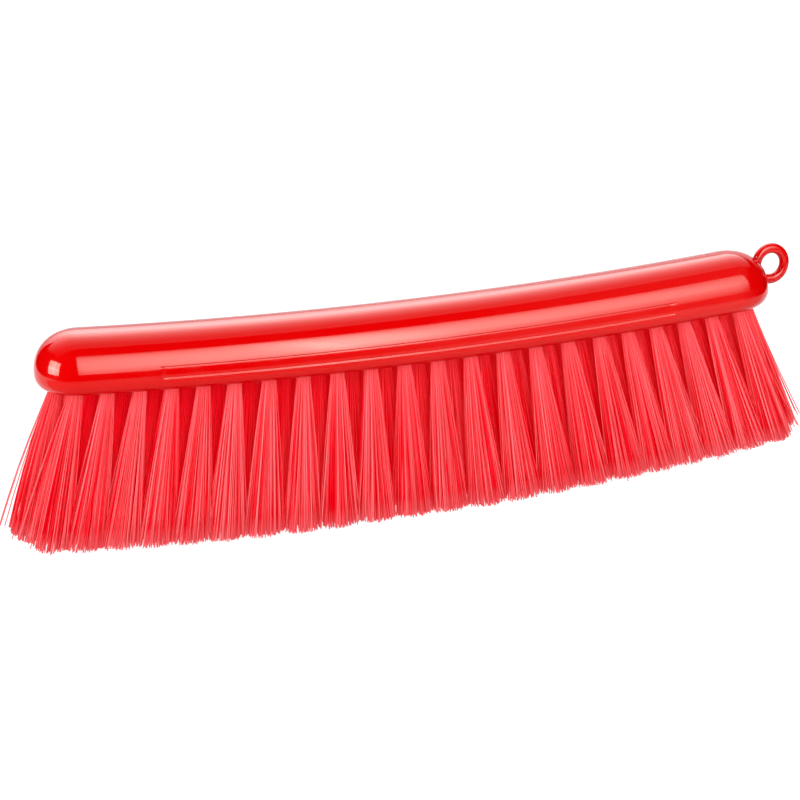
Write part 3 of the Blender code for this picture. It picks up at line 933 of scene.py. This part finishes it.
class FLOURBRUSH_OT_studio(bpy.types.Operator):
    """Add the pale floor, the softboxes, the cards and the camera"""

    bl_idname = "flour_brush.add_studio"
    bl_label = "Add Studio"

    def execute(self, context):
        studio = context.scene.flour_brush_studio
        self.add_floor(studio)
        self.add_cards()
        self.add_lights(studio)
        self.add_surroundings(studio)
        self.add_camera(context)
        context.scene.view_settings.view_transform = "Standard"
        return {"FINISHED"}

    def add_floor(self, studio):
        """A wide pale floor that curves up into a backdrop far behind the brush."""
        bm = bmesh.new()
        near = bm.verts.new((-FLOOR_HALF, -FLOOR_HALF, 0.0))
        far = bm.verts.new((-FLOOR_HALF, BACKDROP_START, 0.0))
        bm.edges.new((near, far))
        bmesh.ops.spin(
            bm, geom=[far], cent=(-FLOOR_HALF, BACKDROP_START, BACKDROP_CURVE), axis=(1.0, 0.0, 0.0),
            dvec=(0.0, 0.0, 0.0), angle=math.pi / 2, steps=BACKDROP_STEPS, use_merge=False,
            use_duplicate=False,
        )
        top = max(bm.verts, key=lambda vert: vert.co.z)
        bmesh.ops.extrude_vert_indiv(bm, verts=[top])
        bm.verts.ensure_lookup_table()
        bm.verts[-1].co.z = BACKDROP_HEIGHT
        drawn = bmesh.ops.extrude_edge_only(bm, edges=bm.edges[:])["geom"]
        moved = [part for part in drawn if isinstance(part, bmesh.types.BMVert)]
        bmesh.ops.translate(bm, verts=moved, vec=(2 * FLOOR_HALF, 0.0, 0.0))
        floor = new_object("floor", bm, pale_floor(studio.floor_colour))
        floor.data.shade_smooth()

    def add_cards(self):
        """Cards seen only in the block's gloss: a dark one round it, tallest behind the plain end, one on
        the floor and one far behind."""
        bm = bmesh.new()
        left = -CARD_HALF - CARD_ROUND
        foot = bm.verts.new((left, CARD_BACK, 0.0))
        top = bm.verts.new((left, CARD_BACK, CARD_HEIGHT))
        rim = [bm.edges.new((foot, top))]
        rim = draw_out(bm, rim, (0.0, -CARD_BACK, 0.0))
        rim = sweep_round(bm, rim, (-CARD_HALF, 0.0, 0.0), (0.0, 0.0, 1.0), math.pi / 2, CARD_STEPS)
        rim = draw_out(bm, rim, (2 * CARD_HALF, 0.0, 0.0))
        rim = sweep_round(bm, rim, (CARD_HALF, 0.0, 0.0), (0.0, 0.0, 1.0), math.pi / 2, CARD_STEPS)
        draw_out(bm, rim, (0.0, CARD_BACK, 0.0))
        for vert in bm.verts:
            if vert.co.x < -CARD_HALF:
                vert.co.x = -CARD_HALF + (vert.co.x + CARD_HALF) * CARD_REACH
            if vert.co.x < 0.0 and vert.co.y > 0.0:
                vert.co.y *= CARD_DEPTH
                vert.co.z *= CARD_RISE
        show_in_gloss(new_object("dark_card", bm, matt_card("matt_dark_card", CARD_GREYS)))
        bm = card_sheet(FLOOR_CARD_WIDTH, FLOOR_CARD_LENGTH)
        bmesh.ops.translate(bm, verts=bm.verts, vec=(0.0, FLOOR_CARD_PLACE, CARD_LIFT))
        show_in_gloss(new_object("floor_card", bm, matt_card("matt_floor_card", FLOOR_CARD_GREYS)))
        bm = card_sheet(FAR_CARD_WIDTH, FAR_CARD_HEIGHT)
        bmesh.ops.rotate(bm, verts=bm.verts, matrix=Matrix.Rotation(math.pi / 2, 3, "X"))
        bmesh.ops.translate(bm, verts=bm.verts, vec=(0.0, FAR_CARD_PLACE, FAR_CARD_HEIGHT / 2 + CARD_LIFT))
        show_in_gloss(new_object("far_card", bm, matt_card("matt_far_card", FAR_CARD_GREYS)))

    def add_lights(self, studio):
        """The front softbox, the light above and behind, and the small softbox at the left end."""
        soft_light(
            "front_softbox", FRONT_CENTRE, (0.0, 1.0, 0.0), (0.0, 0.0, 1.0), FRONT_SIZE,
            studio.front_level, FRONT_ACROSS, FRONT_UP, FRONT_LEAN,
        )
        back = Vector((-math.sin(BACK_TURN), math.cos(BACK_TURN), 0.0))
        soft_light(
            "back_light", BACK_EDGE + back * BACK_SIZE[1] / 2, (0.0, 0.0, -1.0), back, BACK_SIZE,
            studio.back_level, BACK_ACROSS, BACK_UP,
        )
        direction = SIDE_DIRECTION.normalized()
        soft_light(
            "side_softbox", SIDE_AIM + direction, -direction, (0.0, 0.0, 1.0), SIDE_SIZE,
            studio.side_level, SIDE_STOPS, SIDE_STOPS,
        )

    def add_surroundings(self, studio):
        """Even fill that the camera sees as white, and the gloss as dark but for a veil at the right."""
        world = bpy.data.worlds.new("studio")
        bpy.context.scene.world = world
        world.use_nodes = True
        tree = world.node_tree
        background = tree.nodes["Background"]
        background.inputs["Color"].default_value = (1.0, 1.0, 1.0, 1.0)
        path = add_node(tree, "ShaderNodeLightPath")
        heading = add_node(tree, "ShaderNodeTexCoord").outputs["Generated"]
        split = add_node(tree, "ShaderNodeSeparateXYZ", inputs={"Vector": heading})
        veil = add_node(tree, "ShaderNodeValToRGB", inputs={"Fac": split.outputs["X"]})
        set_stops(veil, [(position, (share, share, share, 1.0)) for position, share in VEIL])
        fill = add_node(tree, "ShaderNodeMix", {"data_type": "FLOAT"}, {
            "Factor": path.outputs["Is Glossy Ray"], "A": studio.fill_level, "B": veil.outputs["Color"],
        })
        seen = add_node(tree, "ShaderNodeMix", {"data_type": "FLOAT"}, {
            "Factor": path.outputs["Is Camera Ray"], "A": fill.outputs["Result"], "B": 1.0,
        })
        tree.links.new(seen.outputs["Result"], background.inputs["Strength"])

    def add_camera(self, context):
        """The camera at the photograph's angle."""
        camera = bpy.data.cameras.new("camera")
        camera.lens = CAMERA_LENS
        camera.sensor_width = CAMERA_SENSOR
        camera.clip_start = CAMERA_NEAR
        item = bpy.data.objects.new("camera", camera)
        context.scene.collection.objects.link(item)
        across_cos, across_sin = math.cos(CAMERA_AZIMUTH), math.sin(CAMERA_AZIMUTH)
        up_cos, up_sin = math.cos(CAMERA_ELEVATION), math.sin(CAMERA_ELEVATION)
        ahead = Vector((across_sin * up_cos, across_cos * up_cos, -up_sin))
        right = Vector((across_cos, -across_sin, 0.0))
        up = Vector((across_sin * up_sin, across_cos * up_sin, up_cos))
        rolled_right = right * math.cos(CAMERA_ROLL) - up * math.sin(CAMERA_ROLL)
        rolled_up = up * math.cos(CAMERA_ROLL) + right * math.sin(CAMERA_ROLL)
        rotation = Matrix((rolled_right, rolled_up, -ahead)).transposed()
        place = CAMERA_TARGET - ahead * CAMERA_DISTANCE
        item.matrix_world = Matrix.Translation(place) @ rotation.to_4x4()
        context.scene.camera = item


class VIEW3D_PT_flour_brush(bpy.types.Panel):
    """Sidebar panel of the flour brush"""

    bl_idname = "VIEW3D_PT_flour_brush"
    bl_label = "Flour Brush"
    bl_space_type = "VIEW_3D"
    bl_region_type = "UI"
    bl_category = "Flour Brush"

    def draw(self, context):
        layout = self.layout
        for group, operator in (
            ("flour_brush_block", "flour_brush.add_block"),
            ("flour_brush_bristles", "flour_brush.add_bristles"),
            ("flour_brush_studio", "flour_brush.add_studio"),
        ):
            settings = getattr(context.scene, group)
            box = layout.box()
            for name in settings.bl_rna.properties.keys():
                if name not in {"rna_type", "name"}:
                    box.prop(settings, name)
            box.operator(operator)


CLASSES = (
    FlourBrushBlock,
    FlourBrushBristles,
    FlourBrushStudio,
    FLOURBRUSH_OT_block,
    FLOURBRUSH_OT_bristles,
    FLOURBRUSH_OT_studio,
    VIEW3D_PT_flour_brush,
)


def register():
    """Make the classes and the scene's settings known."""
    for item in CLASSES:
        bpy.utils.register_class(item)
    bpy.types.Scene.flour_brush_block = PointerProperty(type=FlourBrushBlock)
    bpy.types.Scene.flour_brush_bristles = PointerProperty(type=FlourBrushBristles)
    bpy.types.Scene.flour_brush_studio = PointerProperty(type=FlourBrushStudio)


def unregister():
    """Take the classes and the scene's settings away."""
    del bpy.types.Scene.flour_brush_studio
    del bpy.types.Scene.flour_brush_bristles
    del bpy.types.Scene.flour_brush_block
    for item in reversed(CLASSES):
        bpy.utils.unregister_class(item)


def main():
    """Build the brush and its studio."""
    register()
    bpy.ops.flour_brush.add_studio()
    bpy.ops.flour_brush.add_block()
    bpy.ops.flour_brush.add_bristles()


if __name__ == "__main__":
    main()
